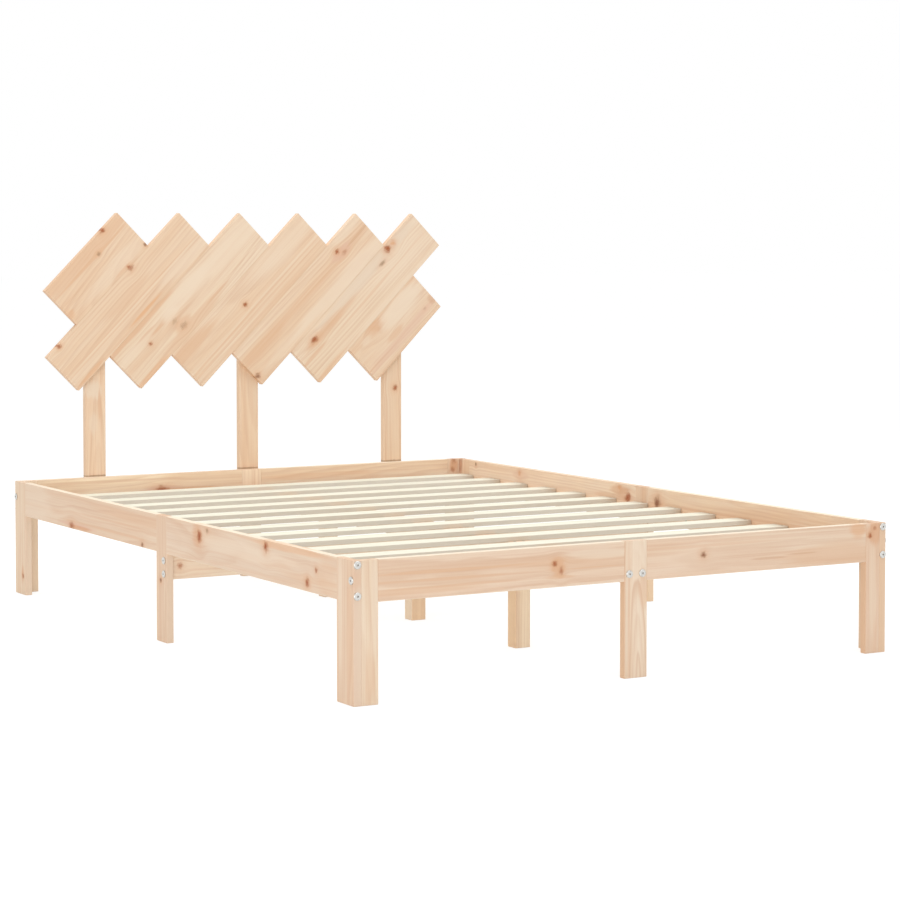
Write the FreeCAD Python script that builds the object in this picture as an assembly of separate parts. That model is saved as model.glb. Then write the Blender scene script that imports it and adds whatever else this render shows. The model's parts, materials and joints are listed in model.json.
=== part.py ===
import FreeCAD, Part
import math
import os

# Pine double bed frame with a slatted base and a headboard of diagonal planks.
# Lengths are in millimetres. X runs across the bed, Y from the foot to the head, Z up.
# The origin lies on the floor, under the middle of the whole object.

# Outside of the frame
frame_width = 1400.0
frame_length = 1957.0
rail_top = 303.0
rail_height = 89.0
board_thickness = 18.0
edge_radius = 1.0

# Legs: a corner leg is a wide board along the side and a narrow one along the end
corner_side_width = 75.0
corner_end_width = 40.0
middle_leg_width = 59.0

# Beams and legs under the slats
cross_beam_height = 59.0
cross_beam_drop = 4.0
cross_beam_offset = 15.5
centre_beam_width = 59.0
centre_leg_width = 40.0
centre_leg_depth = 36.0

# Slats
mattress_recess = 42.0
slat_thickness = 11.0
slat_width = 60.0
slat_end_gap = 1.0
slat_margin = 24.0
slat_count = 13
slat_screw_inset = 15.0
ledge_screw_drop = 13.0
ledge_screw_margin = 8.0

# Headboard
panel_top = 1028.5
plank_width = 130.8
plank_gap = 0.2
plank_long = 556.0
plank_short = 301.0
plank_edge_radius = 0.4
plank_angle = 45.0
plank_count = 7
post_width = 59.0
post_drop = 101.0

# Hex socket bolts and the insert nuts, in the ends of the rails and beams, that they screw into
bolt_radius = 3.0
bolt_head_radius = 8.5
bolt_head_height = 2.6
bolt_head_bevel = 0.9
hexagon_sides = 6
bolt_socket_width = 4.0
bolt_socket_depth = 1.7
bolt_tip = 4.0
bolt_clearance = 0.3
thread_clearance = 0.1
nut_radius = 5.0
nut_length = 18.0
nut_bevel = 0.8
nut_inset = 0.5
nut_clearance = 0.15
nut_slot_width = 1.4
nut_slot_depth = 1.6
bolt_top_inset = 9.5
bolt_bottom_inset = 14.5
cross_bolt_spacing = 32.0
centre_bolt_spacing = 34.0

# Dowels
dowel_radius = 4.0
dowel_length = 36.0
dowel_bevel = 1.0
dowel_clearance = 0.1
dowel_row_spacing = 30.0
leg_dowel_count = 3
leg_dowel_margin = 36.0

# Countersunk screws
screw_radius = 2.0
screw_tip_radius = 0.5
screw_head_radius = 4.0
screw_head_height = 2.4
screw_length = 32.0
screw_point = 4.0
screw_clearance = 0.1
screw_cross_width = 0.9
screw_cross_depth = 1.5
long_screw_length = 70.0
long_screw_spacing = 24.0
screw_edge_margin = 15.0
post_screw_spacing = 40.0

# How far a cut starts outside the face that it enters
overrun = 1.0

# Places worked out from the sizes
half_width = frame_width / 2
half_length = frame_length / 2
mid_length = -board_thickness / 2
inner_half_width = half_width - board_thickness
half_board = board_thickness / 2
rail_bottom = rail_top - rail_height
ledge_top = rail_top - mattress_recess - slat_thickness
cross_beam_top = rail_bottom - cross_beam_drop
cross_beam_bottom = cross_beam_top - cross_beam_height
cross_beam_middle = (cross_beam_top + cross_beam_bottom) / 2
cross_beam_y = mid_length - cross_beam_offset
centre_beam_middle = (ledge_top + cross_beam_top) / 2
head_face = mid_length + half_length
post_back = head_face + board_thickness
post_top = panel_top - post_drop
upper_bolt_z = rail_top - bolt_top_inset
lower_bolt_z = rail_bottom + bolt_bottom_inset
end_bolt_z = (upper_bolt_z + lower_bolt_z) / 2
dowel_rows = [end_bolt_z - dowel_row_spacing / 2, end_bolt_z + dowel_row_spacing / 2]
slat_pitch = (frame_length - 2 * board_thickness - 2 * slat_margin - slat_width) / (slat_count - 1)
plank_pitch = plank_width + plank_gap

left_right = {"left": -1, "right": 1}
foot_head = {"foot": -1, "head": 1}
x_axis = FreeCAD.Vector(1, 0, 0)
y_axis = FreeCAD.Vector(0, 1, 0)
z_axis = FreeCAD.Vector(0, 0, 1)

boards = {}
hardware = {
    "frame_bolts": [],
    "beam_bolts": [],
    "insert_nuts": [],
    "wood_dowels": [],
    "slat_screws": [],
    "frame_screws": [],
    "headboard_screws": [],
}


def add_board(name, xs, ys, zs, radius=edge_radius):
    """A planed board that fills three ranges, with all its edges eased."""
    low = FreeCAD.Vector(min(xs), min(ys), min(zs))
    high = FreeCAD.Vector(max(xs), max(ys), max(zs))
    size = high - low
    solid = Part.makeBox(size.x, size.y, size.z, low)
    boards[name] = solid.makeFillet(radius, solid.Edges)


def placed(shape, point, direction):
    """A copy of a shape made along +Z at the origin, turned along a direction."""
    turn = FreeCAD.Rotation(z_axis, direction)
    return placed_with(shape, point, turn)


def placed_with(shape, point, turn):
    copy = shape.copy()
    copy.Placement = FreeCAD.Placement(point, turn)
    return copy


def cut_from(names, tool):
    for name in names:
        boards[name] = boards[name].cut(tool)


def drill(names, point, direction, radius, depth):
    """A round hole from a point on a face, into the named boards."""
    start = point - direction * overrun
    cut_from(names, Part.makeCylinder(radius, depth + overrun, start, direction))


def hexagon_prism(width, depth):
    """A hexagonal prism along +Z, with its flats the given width apart."""
    corner = width / math.sqrt(3)
    turns = [2 * math.pi * step / hexagon_sides for step in range(hexagon_sides)]
    points = [FreeCAD.Vector(corner * math.cos(turn), corner * math.sin(turn), 0) for turn in turns]
    points.append(points[0])
    return Part.Face(Part.makePolygon(points)).extrude(z_axis * depth)


def bolt_reach(grip):
    """The length of a bolt under its head: what it clamps, its nut and its tip."""
    return grip + nut_inset + nut_length + bolt_tip


def bolt_shape(grip):
    """A bolt whose head stands on the plane z = 0 and whose shank runs down through its nut and past it."""
    rim = bolt_head_height - bolt_head_bevel
    shape = Part.makeCylinder(bolt_head_radius, rim)
    crown_radius = bolt_head_radius - bolt_head_bevel
    crown = Part.makeCone(bolt_head_radius, crown_radius, bolt_head_bevel, z_axis * rim)
    shank = Part.makeCylinder(bolt_radius, bolt_reach(grip), FreeCAD.Vector(), -z_axis)
    shape = shape.fuse([crown, shank]).removeSplitter()
    socket = hexagon_prism(bolt_socket_width, bolt_socket_depth + overrun)
    socket.translate(z_axis * (bolt_head_height - bolt_socket_depth))
    return shape.cut(socket)


def insert_nut_shape():
    """A threaded sleeve that runs down from the plane z = 0, slotted above and bevelled below."""
    straight = nut_length - nut_bevel
    shape = Part.makeCylinder(nut_radius, straight, FreeCAD.Vector(), -z_axis)
    bevel = Part.makeCone(nut_radius, nut_radius - nut_bevel, nut_bevel, -z_axis * straight, -z_axis)
    shape = shape.fuse(bevel).removeSplitter()
    bore_radius = bolt_radius + thread_clearance
    bore = Part.makeCylinder(bore_radius, nut_length + 2 * overrun, z_axis * overrun, -z_axis)
    reach = nut_radius + overrun
    slot_corner = FreeCAD.Vector(-reach, -nut_slot_width / 2, -nut_slot_depth)
    slot = Part.makeBox(2 * reach, nut_slot_width, nut_slot_depth + overrun, slot_corner)
    return shape.cut([bore, slot])


def dowel_shape():
    """A dowel along Z, centred on the origin, with bevelled ends."""
    middle_length = dowel_length - 2 * dowel_bevel
    half_middle = middle_length / 2
    end_radius = dowel_radius - dowel_bevel
    shape = Part.makeCylinder(dowel_radius, middle_length, -z_axis * half_middle)
    top = Part.makeCone(dowel_radius, end_radius, dowel_bevel, z_axis * half_middle)
    bottom = Part.makeCone(dowel_radius, end_radius, dowel_bevel, -z_axis * half_middle, -z_axis)
    return shape.fuse([top, bottom]).removeSplitter()


def screw_shape(length, extra):
    """A countersunk screw pointing down from the plane z = 0, or, with extra, the hole for it."""
    shank = screw_radius + extra
    head = Part.makeCone(screw_head_radius + extra, shank, screw_head_height, FreeCAD.Vector(), -z_axis)
    shank_length = length - screw_head_height - screw_point
    body = Part.makeCylinder(shank, shank_length + extra, -z_axis * screw_head_height, -z_axis)
    point_start = -z_axis * (length - screw_point + extra)
    point = Part.makeCone(shank, screw_tip_radius + extra, screw_point, point_start, -z_axis)
    return head.fuse([body, point]).removeSplitter()


def screw_with_recess(length):
    """A countersunk screw with a cross recess in its head."""
    shape = screw_shape(length, 0)
    arm = screw_head_radius
    height = screw_cross_depth + overrun
    corner = FreeCAD.Vector(-arm / 2, -screw_cross_width / 2, -screw_cross_depth)
    one_slot = Part.makeBox(arm, screw_cross_width, height, corner)
    corner = FreeCAD.Vector(corner.y, corner.x, corner.z)
    other_slot = Part.makeBox(screw_cross_width, arm, height, corner)
    return shape.cut([one_slot, other_slot])


def add_bolt(group, face_point, outward, grip, clamped, rail):
    """A bolt through the clamped boards, and the insert nut that holds it in the end of the rail."""
    hardware[group].append(placed(bolt_shape(grip), face_point, outward))
    hole_depth = bolt_reach(grip) + bolt_clearance
    drill(clamped + [rail], face_point, -outward, bolt_radius + bolt_clearance, hole_depth)
    rail_end = face_point - outward * grip
    hardware["insert_nuts"].append(placed(insert_nut_shape(), rail_end - outward * nut_inset, outward))
    seat_depth = nut_inset + nut_length + nut_clearance
    seat = Part.makeCylinder(nut_radius + nut_clearance, seat_depth, rail_end, -outward)
    cut_from([rail], seat)


def add_dowel(centre, direction, names):
    """A dowel across the joint between the named boards."""
    hardware["wood_dowels"].append(placed(dowel_shape(), centre, direction))
    half_hole = dowel_length / 2 + dowel_clearance
    start = centre - direction * half_hole
    tool = Part.makeCylinder(dowel_radius + dowel_clearance, 2 * half_hole, start, direction)
    cut_from(names, tool)


def add_screw(group, head_point, inward, length, names):
    """A countersunk screw, flush with the face that it enters."""
    hardware[group].append(placed(screw_with_recess(length), head_point, -inward))
    cut_from(names, placed(screw_shape(length, screw_clearance), head_point, -inward))


def end_face(end):
    """The outer face of the frame at the foot (-1) or the head (1)."""
    return mid_length + end * half_length


def make_corner_legs():
    for end_name, end in foot_head.items():
        for side_name, side in left_right.items():
            name = end_name + "_" + side_name + "_leg"
            outer_y = end_face(end)
            outer_x = side * half_width
            inner_x = side * inner_half_width
            side_ys = (outer_y, outer_y - end * corner_side_width)
            end_xs = (inner_x, inner_x - side * corner_end_width)
            end_ys = (outer_y, outer_y - end * board_thickness)
            add_board(name + "_side_board", (outer_x, inner_x), side_ys, (0, rail_top))
            add_board(name + "_end_board", end_xs, end_ys, (0, rail_top))
            span = rail_bottom - 2 * leg_dowel_margin
            for step in range(leg_dowel_count):
                height = leg_dowel_margin + span * step / (leg_dowel_count - 1)
                # The wide board is thin here, so the dowel lies mostly in the narrow one
                joint_x = inner_x - side * (dowel_length / 2 - board_thickness / 2)
                centre = FreeCAD.Vector(joint_x, outer_y - end * half_board, height)
                add_dowel(centre, x_axis, [name + "_side_board", name + "_end_board"])


def make_middle_legs():
    half_leg = middle_leg_width / 2
    for side_name, side in left_right.items():
        xs = (side * half_width, side * inner_half_width)
        ys = (mid_length - half_leg, mid_length + half_leg)
        add_board(side_name + "_middle_leg", xs, ys, (0, rail_top))
    for end_name, end in foot_head.items():
        ys = (end_face(end), end_face(end) - end * board_thickness)
        add_board(end_name + "_middle_leg", (-half_leg, half_leg), ys, (0, rail_top))


def make_side_rails():
    """Two rails along each side, bolted to the corner legs and dowelled to the middle leg."""
    for side_name, side in left_right.items():
        for end_name, end in foot_head.items():
            rail = side_name + "_rail_" + end_name + "_half"
            leg_end = end_face(end) - end * corner_side_width
            middle_end = mid_length + end * middle_leg_width / 2
            xs = (side * half_width, side * inner_half_width)
            add_board(rail, xs, (leg_end, middle_end), (rail_bottom, rail_top))
            for height in dowel_rows:
                centre = FreeCAD.Vector(side * (half_width - half_board), middle_end, height)
                add_dowel(centre, y_axis, [rail, side_name + "_middle_leg"])


def make_end_rails():
    """Two rails across each end, bolted and dowelled to the corner legs."""
    for end_name, end in foot_head.items():
        for side_name, side in left_right.items():
            rail = end_name + "_rail_" + side_name + "_half"
            leg_end = side * (inner_half_width - corner_end_width)
            middle_end = side * middle_leg_width / 2
            ys = (end_face(end), end_face(end) - end * board_thickness)
            add_board(rail, (leg_end, middle_end), ys, (rail_bottom, rail_top))
            joint_y = end_face(end) - end * half_board
            leg_board = end_name + "_" + side_name + "_leg_end_board"
            for height in dowel_rows:
                middle_joint = FreeCAD.Vector(middle_end, joint_y, height)
                add_dowel(middle_joint, x_axis, [rail, end_name + "_middle_leg"])
                add_dowel(FreeCAD.Vector(leg_end, joint_y, height), x_axis, [rail, leg_board])


def make_slat_ledges():
    """Battens inside the side rails that carry the slats and tie the rails to the legs."""
    for side_name, side in left_right.items():
        for end_name, end in foot_head.items():
            ledge = side_name + "_ledge_" + end_name + "_half"
            inner_x = side * inner_half_width
            xs = (inner_x, inner_x - side * board_thickness)
            start = end_face(end) - end * board_thickness
            add_board(ledge, xs, (start, mid_length), (rail_bottom, ledge_top))
            rail = side_name + "_rail_" + end_name + "_half"
            leg_board = end_name + "_" + side_name + "_leg_side_board"
            height = ledge_top - ledge_screw_drop
            face_x = inner_x - side * board_thickness
            inward = x_axis * side
            middle_leg_end = middle_leg_width / 2 - ledge_screw_margin
            fixings = [(start - end * screw_edge_margin, leg_board)]
            fixings.append((mid_length + end * middle_leg_end, side_name + "_middle_leg"))
            for gap in range(0, slat_count // 2, 2):
                # Half way between two slats, clear of their screws
                distance = (slat_count // 2 - gap - 1 / 2) * slat_pitch
                fixings.append((mid_length + end * distance, rail))
            for place, board in fixings:
                point = FreeCAD.Vector(face_x, place, height)
                add_screw("frame_screws", point, inward, screw_length, [ledge, board])


def bolt_corners():
    """Two bolts through each leg into the end of the side rail, and one into the end rail."""
    for end_name, end in foot_head.items():
        for side_name, side in left_right.items():
            leg = end_name + "_" + side_name + "_leg"
            side_board = leg + "_side_board"
            rail = side_name + "_rail_" + end_name + "_half"
            bolt_x = side * (half_width - half_board)
            for height in (upper_bolt_z, lower_bolt_z):
                point = FreeCAD.Vector(bolt_x, end_face(end), height)
                add_bolt("frame_bolts", point, y_axis * end, corner_side_width, [side_board], rail)
            end_rail = end_name + "_rail_" + side_name + "_half"
            end_grip = board_thickness + corner_end_width
            point = FreeCAD.Vector(side * half_width, end_face(end) - end * half_board, end_bolt_z)
            leg_boards = [side_board, leg + "_end_board"]
            add_bolt("frame_bolts", point, x_axis * side, end_grip, leg_boards, end_rail)


def make_cross_beam():
    """A board on edge between the two side middle legs, below the rails."""
    ys = (cross_beam_y - half_board, cross_beam_y + half_board)
    add_board("cross_beam", (-inner_half_width, inner_half_width), ys, (cross_beam_bottom, cross_beam_top))
    for side_name, side in left_right.items():
        for step in (-1, 1):
            height = cross_beam_middle + step * cross_bolt_spacing / 2
            point = FreeCAD.Vector(side * half_width, cross_beam_y, height)
            leg = side_name + "_middle_leg"
            add_bolt("beam_bolts", point, x_axis * side, board_thickness, [leg], "cross_beam")


def make_centre_beams():
    """Two beams end to end under the middle of the slats, bolted to the end middle legs."""
    half_beam = centre_beam_width / 2
    for end_name, end in foot_head.items():
        beam = "centre_beam_" + end_name + "_half"
        start = end_face(end) - end * board_thickness
        add_board(beam, (-half_beam, half_beam), (start, mid_length), (cross_beam_top, ledge_top))
        # At the head the bolts hold the middle post as well
        clamped = [end_name + "_middle_leg"]
        if end > 0:
            clamped.append("headboard_post_centre")
        grip = board_thickness * len(clamped)
        for step in (-1, 1):
            bolt_x = step * centre_bolt_spacing / 2
            point = FreeCAD.Vector(bolt_x, start + end * grip, centre_beam_middle)
            add_bolt("beam_bolts", point, y_axis * end, grip, clamped, beam)


def make_centre_legs():
    """Three legs under the centre beams: one behind the cross beam, two at the quarters."""
    half_leg = centre_leg_width / 2
    back_of_beam = cross_beam_y + half_board
    middle_ys = (back_of_beam, back_of_beam + centre_leg_depth)
    add_board("centre_leg_middle", (-half_leg, half_leg), middle_ys, (0, cross_beam_top))
    for step in (-1, 1):
        height = cross_beam_middle + step * cross_bolt_spacing / 2
        point = FreeCAD.Vector(0, cross_beam_y - half_board, height)
        add_screw("frame_screws", point, y_axis, screw_length, ["cross_beam", "centre_leg_middle"])
    # Each beam is screwed down twice at the middle and twice into its own leg
    middle_of_seat = (mid_length + back_of_beam + centre_leg_depth) / 2
    seats = [(cross_beam_y, "centre_beam_foot_half", "cross_beam")]
    seats.append((middle_of_seat, "centre_beam_head_half", "centre_leg_middle"))
    for end_name, end in foot_head.items():
        leg = "centre_leg_" + end_name
        middle = mid_length + end * frame_length / 4
        ys = (middle - centre_leg_depth / 2, middle + centre_leg_depth / 2)
        add_board(leg, (-half_leg, half_leg), ys, (0, cross_beam_top))
        seats.append((middle, "centre_beam_" + end_name + "_half", leg))
    for place, beam, support in seats:
        for step in (-1, 1):
            point = FreeCAD.Vector(step * long_screw_spacing / 2, place, ledge_top)
            add_screw("frame_screws", point, -z_axis, long_screw_length, [beam, support])


def make_slats():
    """Slats across the bed, screwed to the ledges at both ends."""
    reach = inner_half_width - slat_end_gap
    first = mid_length - slat_pitch * (slat_count - 1) / 2
    for number in range(slat_count):
        slat = "slat_{:02d}".format(number + 1)
        middle = first + number * slat_pitch
        ys = (middle - slat_width / 2, middle + slat_width / 2)
        add_board(slat, (-reach, reach), ys, (ledge_top, ledge_top + slat_thickness))
        screw_y = middle - slat_screw_inset
        end_name = "foot" if screw_y < mid_length else "head"
        for side_name, side in left_right.items():
            ledge = side_name + "_ledge_" + end_name + "_half"
            screw_x = side * (inner_half_width - half_board)
            point = FreeCAD.Vector(screw_x, screw_y, ledge_top + slat_thickness)
            add_screw("slat_screws", point, -z_axis, screw_length, [slat, ledge])


def plank_layout():
    """Each plank's middle and length: along is measured up the slope, across down it."""
    slope = math.radians(plank_angle)
    layout = []
    for number in range(plank_count):
        step = number - (plank_count - 1) / 2
        across = step * plank_pitch
        along = across / math.tan(slope)
        length = plank_long
        if number == 0:
            along += (plank_long - plank_short) / 2
            length = plank_short
        if number == plank_count - 1:
            along -= (plank_long - plank_short) / 2
            length = plank_short
        layout.append((along, across, length))
    return layout


def panel_point(along, across, y):
    """A point of the sloping panel, from its distances up and across the slope."""
    slope = math.radians(plank_angle)
    half_rise = (plank_long * math.sin(slope) + plank_width * math.cos(slope)) / 2
    x = along * math.cos(slope) + across * math.sin(slope)
    z = panel_top - half_rise + along * math.sin(slope) - across * math.cos(slope)
    return FreeCAD.Vector(x, y, z)


def post_places():
    """The posts stand behind the middles of the first, the middle and the last plank."""
    layout = plank_layout()
    chosen = {"left": layout[0], "centre": layout[plank_count // 2], "right": layout[-1]}
    return {name: panel_point(along, across, 0).x for name, (along, across, length) in chosen.items()}


def make_posts():
    for name, place in post_places().items():
        xs = (place - post_width / 2, place + post_width / 2)
        add_board("headboard_post_" + name, xs, (head_face, post_back), (rail_bottom, post_top))


def make_planks():
    """Seven planks edge to edge, in front of the posts."""
    for number, (along, across, length) in enumerate(plank_layout()):
        name = "headboard_plank_" + str(number + 1)
        xs = (-length / 2, length / 2)
        zs = (-plank_width / 2, plank_width / 2)
        add_board(name, xs, (-half_board, half_board), zs, plank_edge_radius)
        centre = panel_point(along, across, head_face - half_board)
        turn = FreeCAD.Rotation(y_axis, -plank_angle)
        boards[name] = placed_with(boards[name], centre, turn)


def join_planks():
    """Two dowels between each plank and the next."""
    slope = math.radians(plank_angle)
    direction = FreeCAD.Vector(math.sin(slope), 0, -math.cos(slope))
    layout = plank_layout()
    for number in range(plank_count - 1):
        along, across, length = layout[number]
        next_along, next_across, next_length = layout[number + 1]
        low = max(along - length / 2, next_along - next_length / 2)
        high = min(along + length / 2, next_along + next_length / 2)
        names = ["headboard_plank_" + str(number + 1), "headboard_plank_" + str(number + 2)]
        for place in (low + (high - low) / 4, high - (high - low) / 4):
            centre = panel_point(place, (across + next_across) / 2, head_face - half_board)
            add_dowel(centre, direction, names)


def screw_planks():
    """Screws from behind, through each post into the planks that cross it."""
    slope = math.radians(plank_angle)
    for number, (along, across, length) in enumerate(plank_layout()):
        centre = panel_point(along, across, 0)
        for name, place in post_places().items():
            crossing = centre.z + (place - centre.x) * math.tan(slope)
            for step in (-1, 1):
                height = crossing + step * post_screw_spacing / 2
                run = (place - centre.x) * math.cos(slope) + (height - centre.z) * math.sin(slope)
                on_plank = abs(run) < length / 2 - screw_edge_margin
                on_post = height < post_top - screw_edge_margin
                if on_plank and on_post:
                    screw_post(name, place, height, "headboard_plank_" + str(number + 1))
    # The third plank only crosses the top corner of the middle post
    corner_x = screw_edge_margin - post_width / 2
    corner_z = post_top - 2 * screw_edge_margin
    screw_post("centre", post_places()["centre"] + corner_x, corner_z, "headboard_plank_3")


def screw_head_rails():
    """Screws from behind, through the foot of each post into the head of the frame."""
    backing = {"left": "head_rail_left_half", "centre": "head_middle_leg", "right": "head_rail_right_half"}
    for name, place in post_places().items():
        heights = [lower_bolt_z, end_bolt_z + dowel_row_spacing / 2]
        if name == "centre":
            # Bolts hold the bottom of this post, and dowels lie at the upper height
            heights = [end_bolt_z]
        for height in heights:
            for step in (-1, 1):
                shift = step * (post_width / 2 - screw_edge_margin)
                screw_post(name, place + shift, height, backing[name])


def screw_post(name, x, z, board):
    point = FreeCAD.Vector(x, post_back, z)
    add_screw("headboard_screws", point, -y_axis, screw_length, ["headboard_post_" + name, board])


def export_all():
    os.makedirs("parts", exist_ok=True)
    for name, solid in boards.items():
        solid.exportStep("parts/" + name + ".step")
    for name, solids in hardware.items():
        Part.makeCompound(solids).exportStep("parts/" + name + ".step")


make_corner_legs()
make_middle_legs()
make_side_rails()
make_end_rails()
make_slat_ledges()
make_posts()
bolt_corners()
make_cross_beam()
make_centre_beams()
make_centre_legs()
make_slats()
make_planks()
join_planks()
screw_planks()
screw_head_rails()
export_all()
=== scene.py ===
import json
import math

import bpy
from mathutils import Matrix, Vector

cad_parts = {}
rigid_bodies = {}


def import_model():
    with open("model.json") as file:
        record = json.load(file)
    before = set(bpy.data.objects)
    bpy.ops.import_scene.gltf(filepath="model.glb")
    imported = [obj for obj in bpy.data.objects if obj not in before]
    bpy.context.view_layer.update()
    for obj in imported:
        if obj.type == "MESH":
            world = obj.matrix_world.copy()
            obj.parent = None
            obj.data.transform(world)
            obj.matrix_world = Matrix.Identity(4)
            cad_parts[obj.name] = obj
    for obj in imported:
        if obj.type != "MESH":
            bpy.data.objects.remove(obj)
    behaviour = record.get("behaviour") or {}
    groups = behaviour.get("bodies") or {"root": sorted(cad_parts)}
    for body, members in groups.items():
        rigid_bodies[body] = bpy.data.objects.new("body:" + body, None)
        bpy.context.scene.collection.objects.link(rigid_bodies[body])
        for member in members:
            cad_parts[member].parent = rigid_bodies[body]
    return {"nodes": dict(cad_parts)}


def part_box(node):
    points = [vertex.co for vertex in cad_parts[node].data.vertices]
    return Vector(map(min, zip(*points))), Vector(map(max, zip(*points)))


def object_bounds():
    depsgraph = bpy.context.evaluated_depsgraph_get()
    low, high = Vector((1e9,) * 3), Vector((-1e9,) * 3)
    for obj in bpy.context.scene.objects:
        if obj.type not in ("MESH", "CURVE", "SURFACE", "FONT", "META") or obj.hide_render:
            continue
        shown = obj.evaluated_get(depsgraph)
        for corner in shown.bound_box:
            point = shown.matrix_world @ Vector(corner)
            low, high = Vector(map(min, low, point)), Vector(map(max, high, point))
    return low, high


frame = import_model()
cad_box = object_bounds()

# Lengths are in metres, the camera's lens and sensor in millimetres, and its angles in degrees.
# Places are in the model's own frame: X across the bed, Y towards the head, Z up.
# A name that ends in share or shares holds parts of a size, of a noise's range or of a colour.

# Camera
camera_place = Vector((-3.1915, -5.6958, 0.9880))
camera_yaw = 30.023
camera_pitch = 2.520
camera_lens = 104.0
camera_sensor = 36.0
camera_drop_share = 0.12

# Light
sky_level = 0.68
ceiling_size = 5.0
ceiling_height = 4.0
ceiling_watts = 125.0
front_size = 3.0
front_watts = 150.0
front_place = Vector((-7.2, -6.4, 1.5))
low_width = 4.0
low_height = 0.6
low_watts = 60.0
low_place = Vector((-4.5, -9.5, 0.35))

# Floor
floor_span = 80.0
floor_drop = 0.0005
floor_grey = 0.90
seen_floor_grey = 0.40
seen_floor_glow = 0.73

# Growth rings
ring_width = 0.0090
ring_wobble = 0.0036
wobble_length = 0.10
wobble_width = 0.020

# Where in a ring its dark late wood starts and is full
late_start_share = 0.15
late_full_share = 0.82

# Where in their noise the years turn from faint to strong, and how much a faint one still shows
year_shares = (0.30, 0.70)
faint_year_share = 0.15

# The pith, which the rings surround: how far it lies to the side and below, how it drifts and climbs
pith_side = 0.070
pith_depth = 0.045
pith_depth_share = 1.3
pith_drift = 0.022
pith_climb_share = 0.05
drift_length = 0.75
drift_width = 0.12

# Broad patches, bands, threads, fibres and pores, as lengths along and across the grain
patch_length = 0.55
patch_width = 0.060
band_length = 1.30
band_width = 0.017
thread_length = 0.30
thread_width = 0.0046
fibre_length = 0.16
fibre_width = 0.0015
pore_length = 0.010
pore_width = 0.0007

# How many finer layers a noise adds to its broadest one
no_detail = 0.0
soft_detail = 1.0
usual_detail = 2.0
fine_detail = 3.0

# How each of them tints the wood: where in its noise it starts, where it is full, and its share of the tint
pale_patch_shares = (0.48, 0.70, 0.60)
warm_patch_shares = (0.48, 0.30, 0.42)
warm_band_shares = (0.50, 0.75, 0.36)
pale_band_shares = (0.50, 0.28, 0.36)
late_ring_share = 0.38
late_thread_shares = (0.52, 0.70, 0.25)
pale_thread_shares = (0.48, 0.30, 0.20)
late_fibre_shares = (0.40, 0.80, 0.19)
pore_start_share = 0.64
pore_full_share = 0.78
late_pore_shares = (pore_start_share, pore_full_share, 0.22)

# Knots, with distances measured in their own radius: how uneven they are, where their core ends and fades
knot_uneven_share = 0.75
knot_solid_share = 0.20
knot_fade_share = 1.40

# How fast a knot's rings follow each other, and how fast its halo and its push on the grain fall off
knot_ring_turn = 16.0
knot_halo_fall = 0.32
knot_push_fall = 0.10

# How strong a knot's push, halo, rings and ink are
knot_push_share = 0.62
knot_halo_share = 0.60
knot_ring_share = 0.10
knot_ink_share = 0.95

# Streaks: how ragged they are, where in their reach they fade, and a depth that goes through any board
ragged_fibre_width = 4 * fibre_width
ragged_patch_length = patch_length / 4
ragged_patch_width = patch_width / 4
ragged_fibre_share = 0.35
ragged_patch_share = 0.45
streak_solid_share = 0.55
streak_fade_share = 1.20
streak_depth = 1.0

# Edges of the boards, and how far they take the edge's tone or, at the ends, the tone of late wood. A paler
# edge tone is partly a painted highlight
end_skin = 0.0006
arris_width = 0.0024
edge_share = 0.80
end_share = 0.22
arris_share = 0.45

# A board whose rings are no stronger than this has no pale patches either
plain_ring_share = 0.6

# Surface of the wood
wood_roughness = 0.64
late_gloss = 0.10
wood_specular = 0.25
bump_height = 0.00025
board_bump = 0.35
slat_bump = 0.30
fibre_height_share = 0.6
late_height_share = 0.4
pore_dent_shares = (pore_start_share, pore_full_share, 0.35)

# Slats
# Painted shade on the slats: a grey band along their narrow edges, and grey ends where the rails' shade
# falls
shaded_edge_width = 2 * end_skin
slat_end_length = 0.050
slat_end_share = 0.75
slat_ring_share = 0.6

# Metal, and dowels, whose flecks are as long as the metal's clouds and as narrow as its scratches
cloud_size = 0.0024
grit_size = 0.0004
# Painted shade in the metal's corners and hollows: how far it looks for nearby surfaces, and where it is
# full and gone
crevice_shade_reach = 0.003
crevice_shade_share = 0.45
unshaded_share = 0.90
cloud_start_share = 0.35
cloud_full_share = 0.70
cloud_dark_share = 0.75
grit_roughness = 0.22
metal_bump = 0.2
bolt_roughness = 0.36
nut_roughness = 0.50
screw_roughness = 0.42
dowel_roughness = 0.6
fleck_roughness = 0.1

# What sets the patterns of boards, streaks and noises apart, with turns in radians
pine_seed_step = 3.7
slat_seed_step = 5.3
streak_seed_step = 5
seed_x_step = 1.7
seed_y_step = 0.9
other_shift = (31.0, 17.0, 5.0)
side_turn = 2.4
depth_turn = 1.7
climb_turn = 3.1


def srgb(red, green, blue):
    """A colour written as in an image, from 0 to 255, turned into linear light by the standard curve."""
    full = 255
    knee = 0.04045
    slope = 12.92
    lift = 0.055
    power = 2.4
    linear = []
    for part in (red, green, blue):
        value = part / full
        linear.append(value / slope if value <= knee else ((value + lift) / (1 + lift)) ** power)
    return (*linear, 1.0)


# Tones of the wood
straw = srgb(233, 205, 176)
bright_straw = srgb(246, 221, 194)
lit_straw = srgb(240, 212, 183)
warm_straw = srgb(236, 207, 177)
bright_rosy = srgb(234, 208, 184)
rosy = srgb(229, 201, 175)
soft_rosy = srgb(229, 205, 182)
cream = srgb(236, 214, 188)
pale = srgb(237, 217, 194)
light_cream = srgb(240, 220, 197)
tan = srgb(224, 184, 150)
orange = srgb(226, 176, 134)
pink = srgb(225, 187, 163)
ash = srgb(228, 208, 187)
late_wood = srgb(210, 166, 132)

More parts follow.
